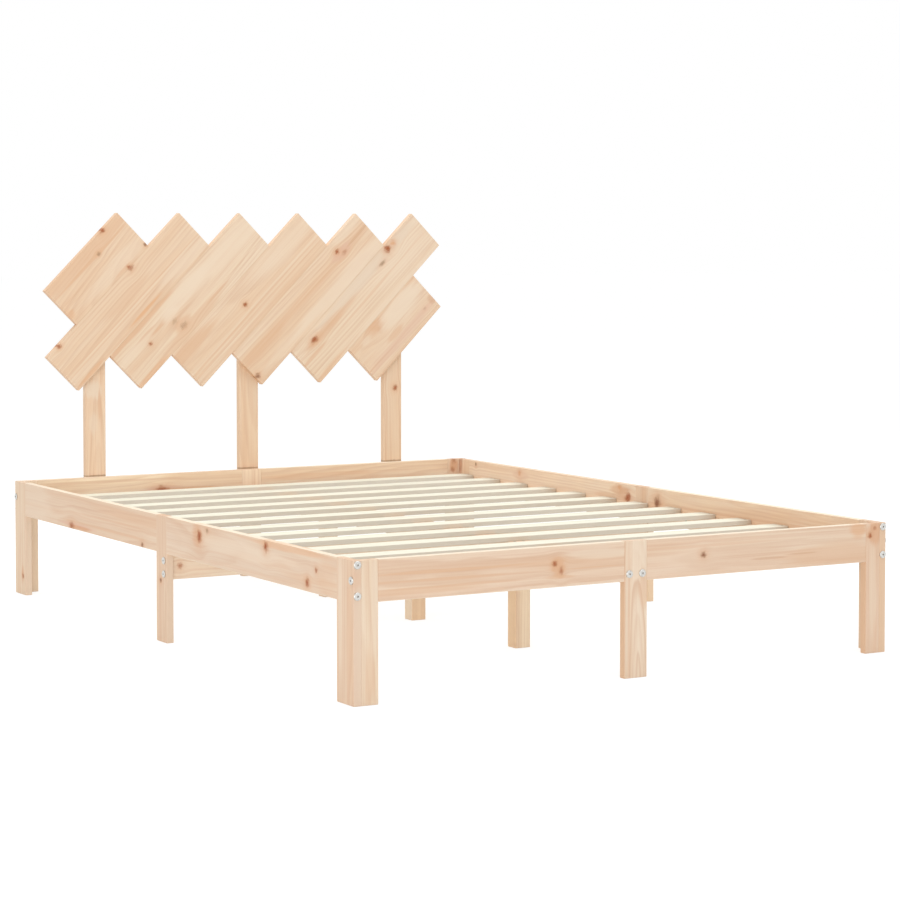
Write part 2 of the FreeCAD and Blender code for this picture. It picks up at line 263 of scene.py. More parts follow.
# Paler tones for boards that stand in the bed's own shade: painted light that lifts them
shade_lifted_straw = srgb(250, 229, 204)
shade_lifted_orange = srgb(252, 222, 188)
shade_lifted_cream = srgb(254, 233, 205)

# Tones of the narrow edges
# Paler, on the rails' tops and arrises: partly their own tone, partly a painted highlight
edge_highlight_cream = srgb(248, 235, 213)
edge_tan = srgb(230, 198, 167)
edge_orange = srgb(240, 204, 166)

# Knots
halo_red = srgb(216, 158, 114)
knot_red = srgb(160, 84, 44)
knot_brown = srgb(122, 70, 42)
knot_grey = srgb(140, 114, 88)

# Slats
slat_cream = srgb(239, 238, 219)
slat_grain = srgb(229, 222, 204)
# Painted shade: the grey of the slats' narrow edges and of their ends by the rails
shaded_slat_edge = srgb(225, 216, 200)
slat_shade = srgb(196, 186, 170)

# Metal and dowels
bolt_zinc = srgb(222, 221, 217)
# Darker than the bolts' zinc: partly dull zinc, partly painted shade of the holes the nuts sit in
shaded_nut_zinc = srgb(150, 148, 142)
screw_zinc = srgb(176, 174, 166)
# The colour of painted shade in the metal's corners and hollows
crevice_shade = srgb(160, 150, 140)
beech_pale = srgb(216, 182, 140)
beech_fleck = srgb(188, 146, 104)

# Each knot: shares of the board's length, width and half width, then its stretch, ink and depth of colour
knot_shares = {
    "cross_beam": [
        (0.014, 0.536, 0.26, 1.0, knot_red, 0.62),
        (0.180, 0.980, 0.24, 1.0, knot_red, 0.50),
    ],
    "foot_rail_left_half": [
        (0.705, 0.575, 0.14, 1.0, knot_red, 0.80),
        (0.732, 0.400, 0.20, 0.6, knot_red, 0.60),
    ],
    "foot_rail_right_half": [
        (0.248, 0.520, 0.15, 1.1, knot_brown, 0.80),
    ],
    "foot_right_leg_end_board": [
        (0.905, 0.300, 0.28, 1.1, knot_red, 0.80),
        (0.962, 0.640, 0.26, 1.0, knot_red, 0.45),
    ],
    "head_left_leg_side_board": [
        (0.170, 0.260, 0.16, 1.4, knot_red, 0.85),
    ],
    "head_rail_left_half": [
        (0.600, 0.490, 0.27, 1.7, knot_red, 0.80),
    ],
    "head_right_leg_end_board": [
        (0.900, 0.400, 0.40, 1.1, knot_red, 0.55),
        (0.985, 0.520, 0.42, 1.2, knot_red, 0.50),
    ],
    "headboard_plank_1": [
        (0.780, 0.020, 0.11, 1.1, knot_red, 0.85),
        (0.605, 0.310, 0.080, 1.2, knot_grey, 0.55),
        (0.730, 0.990, 0.09, 1.1, knot_red, 0.75),
        (0.992, 0.920, 0.09, 1.0, knot_brown, 0.75),
    ],
    "headboard_plank_2": [
        (0.622, 0.015, 0.14, 1.1, knot_red, 0.60),
        (0.083, 0.030, 0.10, 1.1, knot_red, 0.80),
    ],
    "headboard_plank_3": [
        (0.192, 0.480, 0.08, 1.0, knot_red, 0.75),
        (0.383, 0.760, 0.15, 1.3, knot_brown, 0.30),
        (0.362, 0.540, 0.12, 1.3, knot_grey, 0.24),
    ],
    "headboard_plank_4": [
        (0.458, 0.485, 0.10, 1.0, knot_red, 0.90),
    ],
    "headboard_plank_5": [
        (0.782, 0.260, 0.10, 1.2, knot_red, 0.85),
        (0.812, 0.400, 0.10, 1.6, knot_red, 0.35),
        (0.012, 0.790, 0.12, 1.0, knot_brown, 0.75),
    ],
    "headboard_plank_6": [
        (0.767, 0.115, 0.17, 1.0, knot_red, 0.90),
        (0.812, 0.120, 0.13, 1.0, halo_red, 0.60),
        (0.692, 0.250, 0.08, 2.4, knot_grey, 0.60),
        (0.133, 0.228, 0.13, 1.5, knot_red, 0.90),
    ],
    "headboard_plank_7": [
        (0.350, 0.110, 0.22, 1.0, tan, 0.70),
        (0.862, 0.735, 0.06, 1.6, knot_brown, 0.20),
    ],
    "headboard_post_right": [
        (0.428, 0.640, 0.25, 1.1, knot_red, 0.85),
    ],
    "left_middle_leg": [
        (0.486, 0.570, 0.20, 1.0, knot_brown, 0.85),
    ],
    "left_rail_foot_half": [
        (0.785, 0.680, 0.31, 0.9, knot_red, 0.95),
        (0.735, 0.880, 0.13, 1.2, knot_grey, 0.60),
        (0.385, 0.830, 0.25, 1.0, knot_red, 0.95),
        (0.107, 0.560, 0.13, 1.0, knot_red, 0.75),
        (0.155, 0.215, 0.22, 0.9, knot_red, 0.90),
    ],
    "left_rail_head_half": [
        (0.618, 0.080, 0.24, 1.5, knot_red, 0.75),
        (0.097, 0.065, 0.15, 1.1, knot_brown, 0.80),
    ],
    "right_rail_foot_half": [
        (0.951, 0.600, 0.36, 0.9, knot_brown, 0.80),
    ],
    "right_rail_head_half": [
        (0.675, 0.830, 0.18, 0.9, halo_red, 0.55),
        (0.087, 0.860, 0.18, 1.2, halo_red, 0.50),
        (0.044, 0.590, 0.32, 1.0, knot_red, 0.90),
        (0.955, 0.893, 0.11, 0.8, knot_grey, 0.90),
    ],
}

# Each streak: shares of the board's length and width for its middle and its reach, its ink and its depth
streak_shares = {
    "foot_left_leg_end_board": [
        (0.20, 0.50, 0.25, 0.30, tan, 0.35),
        (0.70, 0.80, 0.40, 0.20, pale, 0.60),
    ],
    "foot_left_leg_side_board": [
        (0.87, 0.02, 0.08, 0.04, halo_red, 0.22),
        (0.45, 0.25, 0.50, 0.20, tan, 0.45),
        (0.60, 0.80, 0.50, 0.14, pale, 0.50),
    ],
    "foot_middle_leg": [
        (0.50, 0.10, 0.60, 0.06, pale, 0.60),
        (0.36, 0.20, 0.40, 0.03, tan, 0.45),
        (0.64, 0.85, 0.16, 0.22, tan, 0.50),
    ],
    "foot_rail_left_half": [
        (0.12, 0.18, 0.30, 0.09, tan, 0.55),
        (0.718, 0.48, 0.028, 0.26, halo_red, 0.45),
        (0.30, 0.62, 0.45, 0.04, tan, 0.70),
        (0.30, 0.42, 0.40, 0.05, tan, 0.65),
        (0.25, 0.25, 0.35, 0.04, tan, 0.60),
        (0.72, 0.50, 0.05, 0.26, tan, 0.55),
        (0.73, 0.24, 0.07, 0.05, tan, 0.70),
        (0.88, 0.42, 0.15, 0.03, tan, 0.60),
        (0.90, 0.75, 0.16, 0.16, pale, 0.60),
    ],
    "foot_rail_right_half": [
        (0.88, 0.30, 0.30, 0.30, tan, 0.50),
        (0.54, 0.30, 0.07, 0.03, late_wood, 0.50),
        (0.70, 0.36, 0.08, 0.03, late_wood, 0.45),
        (0.30, 0.75, 0.40, 0.04, tan, 0.40),
        (0.965, 0.86, 0.045, 0.24, orange, 0.60),
        (0.15, 0.50, 0.20, 0.30, pale, 0.20),
    ],
    "foot_right_leg_end_board": [
        (0.45, 0.55, 0.36, 0.30, pale, 0.50),
        (0.93, 0.60, 0.10, 0.40, halo_red, 0.50),
        (0.93, 0.10, 0.05, 0.30, tan, 0.50),
        (0.92, 0.28, 0.02, 0.16, knot_red, 0.20),
    ],
    "head_left_leg_side_board": [
        (0.20, 0.28, 0.10, 0.08, halo_red, 0.50),
    ],
    "head_rail_left_half": [
        (0.80, 0.55, 0.26, 0.90, tan, 0.45),
        (0.62, 0.50, 0.14, 0.12, pink, 0.85),
        (0.76, 0.52, 0.14, 0.04, halo_red, 0.50),
        (0.30, 0.85, 0.40, 0.05, tan, 0.50),
    ],
    "head_rail_right_half": [
        (0.30, 0.70, 0.40, 0.10, orange, 0.40),
        (0.60, 0.50, 0.30, 0.12, tan, 0.50),
    ],
    "head_right_leg_end_board": [
        (0.94, 0.50, 0.06, 0.50, halo_red, 0.40),
    ],
    "head_right_leg_side_board": [
        (0.96, 0.66, 0.10, 0.14, knot_red, 0.45),
    ],
    "headboard_plank_1": [
        (0.50, 0.12, 0.75, 0.20, tan, 0.55),
        (0.50, 0.30, 0.60, 0.035, tan, 0.75),
        (0.70, 0.80, 0.50, 0.20, pale, 0.50),
        (0.66, 0.94, 0.12, 0.04, tan, 0.60),
        (0.02, 0.75, 0.06, 0.12, orange, 0.40),
    ],
    "headboard_plank_2": [
        (0.54, 0.90, 0.13, 0.05, orange, 0.80),
        (0.12, 0.94, 0.10, 0.05, orange, 0.55),
        (0.34, 0.95, 0.20, 0.03, tan, 0.50),
        (0.50, 0.66, 0.70, 0.02, pale, 0.50),
        (0.50, 0.62, 0.60, 0.02, tan, 0.45),
        (0.50, 0.70, 0.60, 0.02, tan, 0.40),
        (0.50, 0.42, 0.16, 0.12, tan, 0.40),
        (0.88, 0.82, 0.25, 0.16, pale, 0.55),
    ],
    "headboard_plank_3": [
        (0.14, 0.04, 0.34, 0.08, tan, 0.85),
        (0.21, 0.26, 0.07, 0.04, tan, 0.60),
        (0.29, 0.38, 0.08, 0.03, tan, 0.70),
        (0.50, 0.28, 0.24, 0.20, pale, 0.75),
        (0.80, 0.34, 0.40, 0.30, pale, 0.60),
        (0.10, 0.34, 0.16, 0.10, pale, 0.50),
        (0.37, 0.36, 0.06, 0.12, pale, 0.70),
        (0.40, 0.90, 0.24, 0.14, tan, 0.50),
        (0.10, 0.93, 0.14, 0.07, orange, 0.60),
        (0.38, 0.72, 0.06, 0.14, tan, 0.50),
        (0.64, 0.82, 0.09, 0.03, tan, 0.60),
    ],
    "headboard_plank_4": [
        (0.08, 0.18, 0.20, 0.20, tan, 0.65),
        (0.50, 0.65, 0.90, 0.03, pale, 0.45),
        (0.50, 0.70, 0.80, 0.025, tan, 0.45),
        (0.50, 0.79, 0.80, 0.03, tan, 0.40),
        (0.85, 0.32, 0.30, 0.22, pale, 0.45),
        (0.55, 0.94, 0.50, 0.08, tan, 0.35),
    ],
    "headboard_plank_5": [
        (0.36, 0.345, 0.45, 0.025, tan, 0.50),
        (0.42, 0.47, 0.50, 0.08, tan, 0.35),
        (0.14, 0.42, 0.20, 0.16, tan, 0.50),
        (0.76, 0.84, 0.45, 0.20, pale, 0.75),
        (0.80, 0.36, 0.07, 0.14, pink, 0.70),
        (0.93, 0.36, 0.09, 0.03, late_wood, 0.50),
        (0.25, 0.82, 0.25, 0.14, pale, 0.40),
        (0.92, 0.08, 0.12, 0.12, pale, 0.50),
    ],
    "headboard_plank_6": [
        (0.62, 0.12, 0.50, 0.15, ash, 0.55),
        (0.20, 0.27, 0.16, 0.12, tan, 0.65),
        (0.08, 0.46, 0.12, 0.05, tan, 0.65),
        (0.34, 0.27, 0.18, 0.07, tan, 0.50),
        (0.60, 0.95, 0.40, 0.08, pale, 0.55),
        (0.80, 0.50, 0.25, 0.22, pale, 0.45),
        (0.55, 0.52, 0.40, 0.03, tan, 0.40),
        (0.10, 0.93, 0.14, 0.08, orange, 0.35),
    ],
    "headboard_plank_7": [
        (0.70, 0.26, 0.36, 0.26, pale, 0.85),
        (0.55, 0.76, 0.70, 0.12, pink, 0.50),
        (0.98, 0.72, 0.05, 0.12, late_wood, 0.50),
        (0.47, 0.60, 0.12, 0.08, tan, 0.60),
        (0.19, 0.18, 0.08, 0.10, pale, 0.50),
    ],
    "headboard_post_centre": [
        # A thin dark line at the rail's top: painted shadow where the post meets the rail
        (0.128, 0.50, 0.004, 1.0, knot_grey, 0.60),
    ],
    "headboard_post_left": [
        # Two pale streaks: painted light that lifts the shade the planks cast on the post
        (0.33, 0.35, 0.05, 0.25, pale, 0.50),
        (0.46, 0.30, 0.04, 0.50, pale, 0.85),
        (0.40, 0.70, 0.06, 0.08, tan, 0.60),
        # A thin dark line at the rail's top: painted shadow where the post meets the rail
        (0.128, 0.50, 0.004, 1.0, knot_grey, 0.60),
    ],
    "headboard_post_right": [
        # A thin dark line at the rail's top: painted shadow where the post meets the rail
        (0.128, 0.50, 0.004, 1.0, knot_grey, 0.60),
    ],
    "left_rail_foot_half": [
        (0.28, 0.92, 0.26, 0.09, orange, 0.55),
        (0.55, 0.60, 0.30, 0.25, pale, 0.55),
        (0.80, 0.70, 0.03, 0.30, halo_red, 0.35),
        (0.12, 0.30, 0.20, 0.10, tan, 0.35),
        (0.05, 0.45, 0.06, 0.50, tan, 0.35),
    ],
    "left_rail_head_half": [
        (0.60, 0.12, 0.16, 0.08, pink, 0.80),
        (0.55, 0.08, 0.09, 0.06, halo_red, 0.60),
        (0.15, 0.70, 0.30, 0.20, tan, 0.35),
        (0.35, 0.22, 0.35, 0.04, tan, 0.60),
        (0.30, 0.50, 0.30, 0.03, tan, 0.50),
        (0.92, 0.50, 0.14, 0.80, pale, 0.50),
    ],
    "right_middle_leg": [
        # Its lower part under the bed is painted lighter: painted light against the bed's shade
        (0.15, 0.50, 0.50, 1.50, shade_lifted_orange, 0.80),
    ],
    "right_rail_foot_half": [
        # A darker line just above the slats: painted shade where the slats meet the rail
        (0.50, 0.55, 0.60, 0.04, tan, 0.50),
    ],
    "right_rail_head_half": [
        (0.67, 0.75, 0.05, 0.20, pink, 0.50),
        (0.09, 0.80, 0.05, 0.20, tan, 0.70),
        (0.12, 0.58, 0.10, 0.10, tan, 0.55),
    ],
}

# The pith under a board whose arches stand out: shares of the usual side and depth, and how it climbs
pith_shares = {
    "foot_left_leg_end_board": (-0.429, 1.111, 0.030),
    "foot_middle_leg": (0.057, 0.644, 0.128),
    "foot_rail_left_half": (0.143, 1.667, 0.004),
    "foot_rail_right_half": (-0.143, 1.556, -0.006),
    "headboard_plank_1": (0.914, 1.333, -0.110),
    "headboard_plank_3": (-0.143, 1.222, 0.060),
    "headboard_plank_7": (-0.429, 1.111, -0.090),
    "headboard_post_left": (0.086, 0.778, 0.050),
}

# A board's own tone, and how strong its rings are
tone_and_ring_shares = {
    # Boards given one of the paler shade tones are painted light against the bed's shade
    "centre_leg_foot": (shade_lifted_cream, 0.6),
    "centre_leg_head": (shade_lifted_cream, 0.6),
    "centre_leg_middle": (shade_lifted_orange, 0.6),
    "cross_beam": (light_cream, 1.0),
    "foot_left_leg_end_board": (cream, 1.0),
    "foot_left_leg_side_board": (rosy, 1.0),
    "foot_middle_leg": (light_cream, 1.3),
    "foot_rail_left_half": (bright_rosy, 1.7),
    "foot_rail_right_half": (bright_rosy, 0.9),
    "foot_right_leg_end_board": (bright_rosy, 1.0),
    "head_left_leg_end_board": (shade_lifted_straw, 0.3),
    "head_left_leg_side_board": (cream, 0.8),
    "head_middle_leg": (bright_straw, 0.3),
    "head_rail_left_half": (shade_lifted_cream, 0.7),
    "head_rail_right_half": (lit_straw, 1.3),
    "head_right_leg_side_board": (lit_straw, 0.2),
    "headboard_plank_1": (straw, 1.1),
    "headboard_plank_3": (cream, 0.8),
    "headboard_plank_4": (straw, 0.7),
    "headboard_plank_6": (cream, 0.8),
    "headboard_plank_7": (straw, 0.9),
    "headboard_post_centre": (warm_straw, 1.0),
    "headboard_post_left": (lit_straw, 1.2),
    "headboard_post_right": (warm_straw, 1.0),
    "left_rail_foot_half": (soft_rosy, 0.9),
    "left_rail_head_half": (rosy, 1.0),
    "right_rail_foot_half": (warm_straw, 0.8),
    "right_rail_head_half": (bright_straw, 0.8),
}

# The tone of a board's narrow edges, where it differs from that of its like
edge_tones = {
    "centre_leg_foot": edge_orange,
    "centre_leg_head": edge_orange,
    # Painted light: the middle centre leg's edges are lifted against the bed's shade
    "centre_leg_middle": shade_lifted_straw,
    "foot_middle_leg": tan,
    "foot_right_leg_end_board": tan,
    "foot_right_leg_side_board": edge_tan,
    "head_left_leg_end_board": edge_orange,
    "head_rail_left_half": cream,
    "head_right_leg_side_board": edge_tan,
    "right_rail_head_half": cream,
}


class Tree:
    """Short calls for building a node tree."""

    def __init__(self, tree):
        self.tree = tree

    def add(self, kind, **settings):
        node = self.tree.nodes.new(kind)
        for name, value in settings.items():
            setattr(node, name, value)
        return node

    def feed(self, socket, value):
        """Links a socket to a socket, or sets it to a plain value."""
        if isinstance(value, bpy.types.NodeSocket):
            self.tree.links.new(value, socket)
        elif value is not None:
            socket.default_value = value

    def math(self, operation, first, second=None, third=None):
        node = self.add("ShaderNodeMath", operation=operation)
        for socket, value in zip(node.inputs, (first, second, third)):
            self.feed(socket, value)
        return node.outputs["Value"]

    def times(self, *factors):
        product = factors[0]
        for factor in factors[1:]:
            product = self.math("MULTIPLY", product, factor)
        return product

    def vector(self, operation, first, second=None):
        node = self.add("ShaderNodeVectorMath", operation=operation)
        self.feed(node.inputs[0], first)
        self.feed(node.inputs[1], second)
        return node.outputs["Value" if operation == "LENGTH" else "Vector"]

    def split(self, vector):
        node = self.add("ShaderNodeSeparateXYZ")
        self.feed(node.inputs["Vector"], vector)
        return node.outputs

    def join(self, x, y, z):
        node = self.add("ShaderNodeCombineXYZ")
        for socket, value in zip(node.inputs, (x, y, z)):
            self.feed(socket, value)
        return node.outputs["Vector"]

    def noise(self, vector, detail):
        node = self.add("ShaderNodeTexNoise")
        self.feed(node.inputs["Vector"], vector)
        node.inputs["Scale"].default_value = 1.0
        node.inputs["Detail"].default_value = detail
        return node.outputs["Fac"]

    def grain(self, point, offset, length, width, detail=usual_detail):
        """Noise stretched along a board: its marks are as long and as wide as asked."""
        scaled = self.vector("MULTIPLY", point, (1 / length, 1 / width, 1 / width))
        return self.noise(self.vector("ADD", scaled, offset), detail)

    def swing(self, noise, reach):
        """Noise turned into a length either side of zero."""
        return self.math("MULTIPLY_ADD", noise, 2 * reach, -reach)

    def ease(self, value, low, high, start=0.0, stop=1.0):
        """A smooth step of a value from start, at low, to stop, at high."""
        node = self.add("ShaderNodeMapRange", interpolation_type="SMOOTHSTEP")
        ends = {"Value": value, "From Min": low, "From Max": high, "To Min": start, "To Max": stop}
        for name, item in ends.items():
            self.feed(node.inputs[name], item)
        return node.outputs["Result"]

    def tint(self, noise, shares):
        """How much a noise tints: nothing up to its first share, and the third share from the second on."""
        begin, full, most = shares
        if begin < full:
            return self.ease(noise, begin, full, 0.0, most)
        return self.ease(noise, full, begin, most, 0.0)

    def blend(self, share, first, second):
        """A mix of two colours. The sockets of this node share their names, so they are taken by number."""
        node = self.add("ShaderNodeMix", data_type="RGBA")
        self.feed(node.inputs[0], share)
        self.feed(node.inputs[6], first)
        self.feed(node.inputs[7], second)
        return node.outputs[2]

    def bump(self, shader, height, strength):
        node = self.add("ShaderNodeBump")
        node.inputs["Strength"].default_value = strength
        node.inputs["Distance"].default_value = bump_height
        self.feed(node.inputs["Height"], height)
        self.feed(shader.inputs["Normal"], node.outputs["Normal"])


def new_group(name, inputs, outputs):
    """An empty node group, with its Tree and its input sockets."""
    group = bpy.data.node_groups.new(name, "ShaderNodeTree")
    for socket, kind in inputs.items():
        group.interface.new_socket(socket, in_out="INPUT", socket_type="NodeSocket" + kind)
    for socket, kind in outputs.items():
        group.interface.new_socket(socket, in_out="OUTPUT", socket_type="NodeSocket" + kind)
    tree = Tree(group)
    return group, tree, tree.add("NodeGroupInput").outputs


def close_group(tree, **results):
    node = tree.add("NodeGroupOutput")
    for name, value in results.items():
        tree.feed(node.inputs[name], value)


def use_group(tree, group, **values):
    node = tree.add("ShaderNodeGroup", node_tree=group)
    for name, value in values.items():
        tree.feed(node.inputs[name], value)
    return node.outputs


def make_knot_group():
    """A knot through a board: its core, its rings, its halo and how far it pushes the grain aside."""
    inputs = {"Point": "Vector", "Centre": "Vector", "Radius": "Float", "Stretch": "Float", "Seed": "Float"}
    outputs = {"Core": "Float", "Rings": "Float", "Halo": "Float", "Push": "Float"}
    group, tree, given = new_group("knot", inputs, outputs)
    away = tree.split(tree.vector("SUBTRACT", given["Point"], given["Centre"]))
    along = tree.math("DIVIDE", away["X"], tree.times(given["Radius"], given["Stretch"]))
    across = tree.math("DIVIDE", away["Y"], given["Radius"])
    plain = tree.vector("LENGTH", tree.join(along, across, 0.0))
    noise = tree.noise(tree.join(along, across, given["Seed"]), detail=usual_detail)
    distance = tree.math("ADD", plain, tree.swing(noise, knot_uneven_share))
    core = tree.ease(distance, knot_solid_share, knot_fade_share, 1.0, 0.0)
    rings = tree.math("SINE", tree.times(distance, knot_ring_turn))
    halo = tree.math("EXPONENT", tree.times(distance, distance, -knot_halo_fall))
    near = tree.math("EXPONENT", tree.times(plain, plain, -knot_push_fall))
    push = tree.times(away["Y"], near, knot_push_share)
    close_group(tree, Core=core, Rings=rings, Halo=halo, Push=push)
    return group


def make_streak_group():
    """A soft patch of another tone, drawn out along the grain and broken up by it."""
    inputs = {"Point": "Vector", "Centre": "Vector", "Reach": "Vector", "Seed": "Float"}
    group, tree, given = new_group("streak", inputs, {"Mask": "Float"})
    away = tree.vector("SUBTRACT", given["Point"], given["Centre"])
    distance = tree.vector("LENGTH", tree.vector("DIVIDE", away, given["Reach"]))
    offset = tree.join(given["Seed"], given["Seed"], given["Seed"])
    fine = tree.grain(given["Point"], offset, fibre_length, ragged_fibre_width)
    wide = tree.grain(given["Point"], offset, ragged_patch_length, ragged_patch_width, detail=soft_detail)
    distance = tree.math("ADD", distance, tree.swing(fine, ragged_fibre_share))
    distance = tree.math("ADD", distance, tree.swing(wide, ragged_patch_share))
    close_group(tree, Mask=tree.ease(distance, streak_solid_share, streak_fade_share, 1.0, 0.0))
    return group


def late_wood_share(tree, given, offset, other_offset):
    """Dark late wood in rings round a pith that wanders below the face: arches and long lines on it."""
    flow = tree.split(given["Flow"])
    pith = tree.split(given["Pith"])
    sway = tree.swing(tree.grain(given["Flow"], offset, drift_length, drift_width), pith_drift)
    dip = tree.swing(tree.grain(given["Flow"], other_offset, drift_length, drift_width), pith_drift)
    wobble = tree.swing(tree.grain(given["Flow"], offset, wobble_length, wobble_width), ring_wobble / 2)
    side = tree.math("ADD", tree.math("SUBTRACT", flow["Y"], pith["X"]), sway)
    depth = tree.math("ADD", tree.math("ADD", flow["Z"], pith["Y"]), dip)
    depth = tree.math("ADD", depth, tree.times(flow["X"], pith["Z"]))
    radius = tree.math("ADD", tree.vector("LENGTH", tree.join(side, depth, 0.0)), wobble)
    turns = tree.math("DIVIDE", radius, ring_width)
    ring = tree.math("FRACT", turns)
    ending = tree.ease(ring, late_full_share, 1.0, 1.0, 0.0)
    late = tree.times(tree.ease(ring, late_start_share, late_full_share), ending)
    year = tree.noise(tree.join(tree.math("FLOOR", turns), given["Seed"], 0.0), detail=no_detail)
    return tree.times(late, tree.ease(year, *year_shares, faint_year_share, 1.0))


def tone_edges(tree, given, color):
    """The narrow edges and the arrises take the edge's tone, and the end grain is a little darker; a paler
    edge tone, as on the rails, is partly a painted highlight.
    """
    point = tree.split(given["Point"])
    half = tree.split(given["Half"])
    inside = {}
    for axis in "XYZ":
        inside[axis] = tree.math("SUBTRACT", half[axis], tree.math("ABSOLUTE", point[axis]))
    color = tree.blend(tree.ease(inside["Y"], 0.0, end_skin, edge_share, 0.0), color, given["Edge"])
    color = tree.blend(tree.ease(inside["X"], 0.0, end_skin, end_share, 0.0), color, given["Late"])
    corner = tree.math("ADD", tree.math("ABSOLUTE", inside["Y"]), tree.math("ABSOLUTE", inside["Z"]))
    return tree.blend(tree.ease(corner, 0.0, arris_width, arris_share, 0.0), color, given["Edge"])


def make_pine_group():
    """Solid pine from a board's own coordinates: X along the grain, Y across its face, Z through it."""
    inputs = {"Point": "Vector", "Flow": "Vector", "Half": "Vector", "Pith": "Vector", "Seed": "Float",
              "Base": "Color", "Pale": "Color", "Warm": "Color", "Late": "Color", "Edge": "Color",
              "Rings": "Float"}
    outputs = {"Color": "Color", "Roughness": "Float", "Height": "Float"}
    group, tree, given = new_group("pine", inputs, outputs)
    seed = given["Seed"]
    offset = tree.join(tree.times(seed, seed_x_step), tree.times(seed, seed_y_step), seed)
    other_offset = tree.vector("ADD", offset, other_shift)
    late = late_wood_share(tree, given, offset, other_offset)

    # From the broadest marks to the finest
    patch = tree.grain(given["Flow"], offset, patch_length, patch_width, detail=fine_detail)
    band = tree.grain(given["Flow"], other_offset, band_length, band_width)
    thread = tree.grain(given["Flow"], other_offset, thread_length, thread_width)
    fibre = tree.grain(given["Flow"], offset, fibre_length, fibre_width, detail=fine_detail)
    pore = tree.grain(given["Flow"], other_offset, pore_length, pore_width, detail=soft_detail)
    color = tree.blend(tree.tint(patch, pale_patch_shares), given["Base"], given["Pale"])
    color = tree.blend(tree.tint(patch, warm_patch_shares), color, given["Warm"])
    color = tree.blend(tree.tint(band, warm_band_shares), color, given["Warm"])
    color = tree.blend(tree.tint(band, pale_band_shares), color, given["Pale"])
    color = tree.blend(tree.times(late, given["Rings"], late_ring_share), color, given["Late"])
    color = tree.blend(tree.tint(thread, late_thread_shares), color, given["Late"])
    color = tree.blend(tree.tint(thread, pale_thread_shares), color, given["Pale"])
    color = tree.blend(tree.tint(fibre, late_fibre_shares), color, given["Late"])
    color = tree.blend(tree.tint(pore, late_pore_shares), color, given["Late"])
    color = tone_edges(tree, given, color)

    roughness = tree.math("MULTIPLY_ADD", late, -late_gloss, wood_roughness)
    height = tree.math("MULTIPLY_ADD", fibre, fibre_height_share, tree.times(late, late_height_share))
    height = tree.math("SUBTRACT", height, tree.tint(pore, pore_dent_shares))
    close_group(tree, Color=color, Roughness=roughness, Height=height)
    return group


def local_axes(node):
    """A board's own axes: along the grain, across its face and through it."""
    if node.startswith("headboard_plank"):
        slope = math.sqrt(0.5)
        along = Vector((slope, 0, slope))
        across = Vector((slope, 0, -slope))
        return along, across, along.cross(across)
    low, high = (Vector(corner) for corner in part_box(node))
    order = sorted(range(3), key=lambda axis: low[axis] - high[axis])
    along = Vector([float(axis == order[0]) for axis in range(3)])
    across = Vector([float(axis == order[1]) for axis in range(3)])
    return along, across, along.cross(across)


def half_sizes(node, axes):
    """Half of a board's length, width and thickness."""
    mesh = bpy.data.objects[node].data
    halves = []
    for axis in axes:
        reach = [vertex.co.dot(axis) for vertex in mesh.vertices]
        halves.append((max(reach) - min(reach)) / 2)
    return Vector(halves)


def new_material(name):
    material = bpy.data.materials.new(name)
    material.use_nodes = True
    tree = Tree(material.node_tree)
    shader = material.node_tree.nodes["Principled BSDF"]
    return material, tree, shader


def board_point(tree, node, axes):
    """A point's place in a board's own coordinates, measured from the board's middle."""
    low, high = (Vector(corner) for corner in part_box(node))
    place = tree.add("ShaderNodeMapping", vector_type="TEXTURE")
    tree.feed(place.inputs["Vector"], tree.add("ShaderNodeTexCoord").outputs["Object"])
    place.inputs["Location"].default_value = (low + high) / 2
    place.inputs["Rotation"].default_value = Matrix(axes).transposed().to_euler()
    return place.outputs["Vector"]


def board_place(half, along_share, across_share):
    """A point of a board's face, from shares of its length and width."""
    return ((2 * along_share - 1) * half.x, (2 * across_share - 1) * half.y, 0.0)


def any_pith(number):
    """Shares for the pith of a board whose rings are made up."""
    side_share = math.sin(number * side_turn)
    depth_share = pith_depth_share + math.sin(number * depth_turn)
    climb = pith_climb_share * math.sin(number * climb_turn)
    return side_share, depth_share, climb


def pith_place(shares):
    """Where the pith lies under a board: its side, its depth and how steeply it climbs."""
    side_share, depth_share, climb = shares
    return side_share * pith_side, depth_share * pith_depth, climb


def board_tones(node):
    """A board's own tone, the strength of its rings, and the tone of its narrow edges."""
    if node.startswith("headboard"):
        usual, usual_edge = straw, edge_tan
    elif "rail" in node:
        usual, usual_edge = rosy, edge_highlight_cream
    else:
        usual, usual_edge = rosy, soft_rosy
    base, ring_share = tone_and_ring_shares.get(node, (usual, 1.0))
    return base, ring_share, edge_tones.get(node, usual_edge)


def place_knots(tree, node, number, half, point):
    """A board's knots, not painted yet, and how far they push the grain aside."""
    flat = tree.vector("MULTIPLY", point, (1.0, 1.0, 0.0))
    knots = []
    push = 0.0
    for index, (along, across, size, stretch, ink, depth) in enumerate(knot_shares.get(node, [])):
        knot = use_group(tree, knot_group, Point=flat, Centre=board_place(half, along, across),
                         Radius=size * half.y, Stretch=stretch, Seed=number + index)
        knots.append((knot, ink, depth))
        push = tree.math("SUBTRACT", push, knot["Push"])
    return knots, push


def paint_knots(tree, knots, color):
    for knot, ink, depth in knots:
        color = tree.blend(tree.times(knot["Halo"], knot_halo_share * depth), color, halo_red)
        ringed = tree.math("MULTIPLY_ADD", knot["Rings"], knot_ring_share, knot_ink_share * depth)
        color = tree.blend(tree.times(knot["Core"], ringed), color, ink)
    return color


